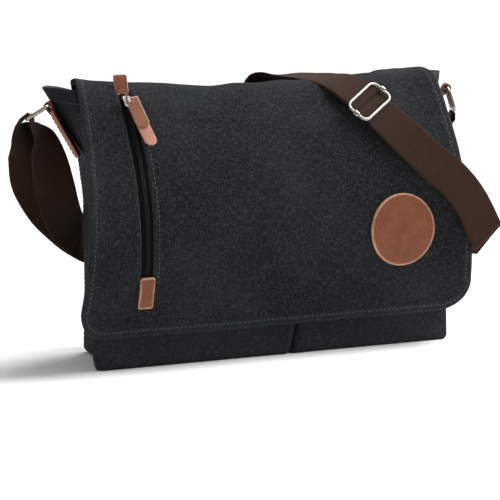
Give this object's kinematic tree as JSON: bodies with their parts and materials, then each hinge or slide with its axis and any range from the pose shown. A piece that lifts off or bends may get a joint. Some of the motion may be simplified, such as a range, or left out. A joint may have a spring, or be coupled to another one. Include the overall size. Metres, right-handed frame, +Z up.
{
  "type": "camera bag",
  "caption": "Soft canvas messenger bag with a fold-over flap, zip pocket in the flap, shoulder strap on metal rings and a padded camera insert.",
  "frame": {"origin": "centre of the base, on the plane the bag stands on", "axes": "+Z up, the flap and the front pockets face -Y, +X towards the flap's round leather patch"},
  "size_m": [0.4791, 0.1726, 0.2696],
  "materials": {
    "canvas": "washed heather canvas, matte",
    "lining_cloth": "plain woven lining",
    "padding": "brushed loop cloth over foam",
    "webbing": "flat woven cotton webbing",
    "leather": "smooth, semi-matte",
    "leather_flesh": "suede side out",
    "nickel": "plated, bright",
    "zip_tape": "knitted tape",
    "zip_coil": "nylon coil",
    "board": "pebbled polyethylene sheet"
  },
  "bodies": {
    "shell": {"back_panel": "canvas", "front_panel": "canvas", "left_gusset": "canvas", "right_gusset": "canvas", "bottom_panel": "canvas", "base_board": "board", "lining": "lining_cloth", "front_pocket_left": "canvas", "front_pocket_right": "canvas", "pocket_divider": "canvas", "pocket_end_left": "canvas", "pocket_end_right": "canvas", "snap_sockets": "nickel", "insert_floor": "padding", "insert_front_wall": "padding", "insert_back_wall": "padding", "insert_left_wall": "padding", "insert_right_wall": "padding", "left_chape": "leather", "right_chape": "leather", "strap_left_outer": "webbing", "strap_left_inner": "webbing", "strap_back": "webbing", "strap_over_top": "webbing", "strap_front": "webbing", "strap_right": "webbing"},
    "flap_top": {"flap_top_canvas": "canvas", "flap_top_lining": "lining_cloth"},
    "flap_front": {"flap_front_canvas": "canvas", "flap_front_lining": "lining_cloth", "zip_pocket": "lining_cloth", "zip_tape": "zip_tape", "zip_coil": "zip_coil", "zip_tab_bottom": "leather", "zip_tab_top": "leather", "leather_patch": "leather", "snap_studs": "nickel"},
    "zip_slider": {"zip_slider": "nickel"},
    "pull_ring": {"pull_ring": "nickel"},
    "leather_pull": {"pull_leather": "leather", "pull_backing": "leather_flesh"},
    "left_ring": {"left_ring": "nickel"},
    "right_ring": {"right_ring": "nickel"},
    "strap_adjuster": {"adjuster_frame": "nickel", "adjuster_bar": "nickel"},
    "left_divider": {"divider_left": "padding"},
    "right_divider": {"divider_right": "padding"}
  },
  "joints": [
    {"name": "flap_open", "type": "hinge", "parent": "shell", "child": "flap_top", "pos_m": [0, 0.046, 0.259], "axis": [-1, 0, 0], "range_deg": [0, 212], "deforming": ["strap_over_top", "strap_front", "adjuster_frame", "adjuster_bar"]},
    {"name": "flap_fold", "type": "hinge", "parent": "flap_top", "child": "flap_front", "pos_m": [0, -0.038, 0.257], "axis": [-1, 0, 0], "range_deg": [0, 116]},
    {"name": "zip_run", "type": "hinge", "parent": "flap_front", "child": "zip_slider", "pos_m": [-0.1425, 0.126, 0.112], "axis": [1, 0, 0], "range_deg": [0, 41]},
    {"name": "pull_lift", "type": "hinge", "parent": "zip_slider", "child": "pull_ring", "pos_m": [-0.1425, -0.04593, 0.24488], "axis": [-1, 0, 0], "range_deg": [0, 100]},
    {"name": "pull_swing", "type": "hinge", "parent": "pull_ring", "child": "leather_pull", "pos_m": [-0.1425, -0.04991, 0.23974], "axis": [0, -0.7912, 0.6115], "range_deg": [-60, 15]},
    {"name": "left_ring_swing", "type": "hinge", "parent": "shell", "child": "left_ring", "pos_m": [-0.202, -0.003, 0.239], "axis": [0.4627, 0.8851, -0.0503], "range_deg": [-20, 20], "deforming": ["strap_left_outer", "strap_left_inner"]},
    {"name": "right_ring_swing", "type": "hinge", "parent": "shell", "child": "right_ring", "pos_m": [0.222, -0.003, 0.238], "axis": [0.4627, 0.8851, -0.0503], "range_deg": [-20, 20], "deforming": ["strap_right"]},
    {"name": "adjuster_slide", "type": "slide", "parent": "shell", "child": "strap_adjuster", "axis": [0.6764, -0.3446, -0.6509], "range_m": [-0.004, 0.045]},
    {"name": "left_divider_shift", "type": "slide", "parent": "shell", "child": "left_divider", "axis": [1, 0, 0], "range_m": [-0.03, 0.03]},
    {"name": "right_divider_shift", "type": "slide", "parent": "shell", "child": "right_divider", "axis": [1, 0, 0], "range_m": [-0.03, 0.03]}
  ],
  "couplings": [
    {"joint": "flap_fold", "follows": "flap_open", "ratio": 0.547}
  ]
}
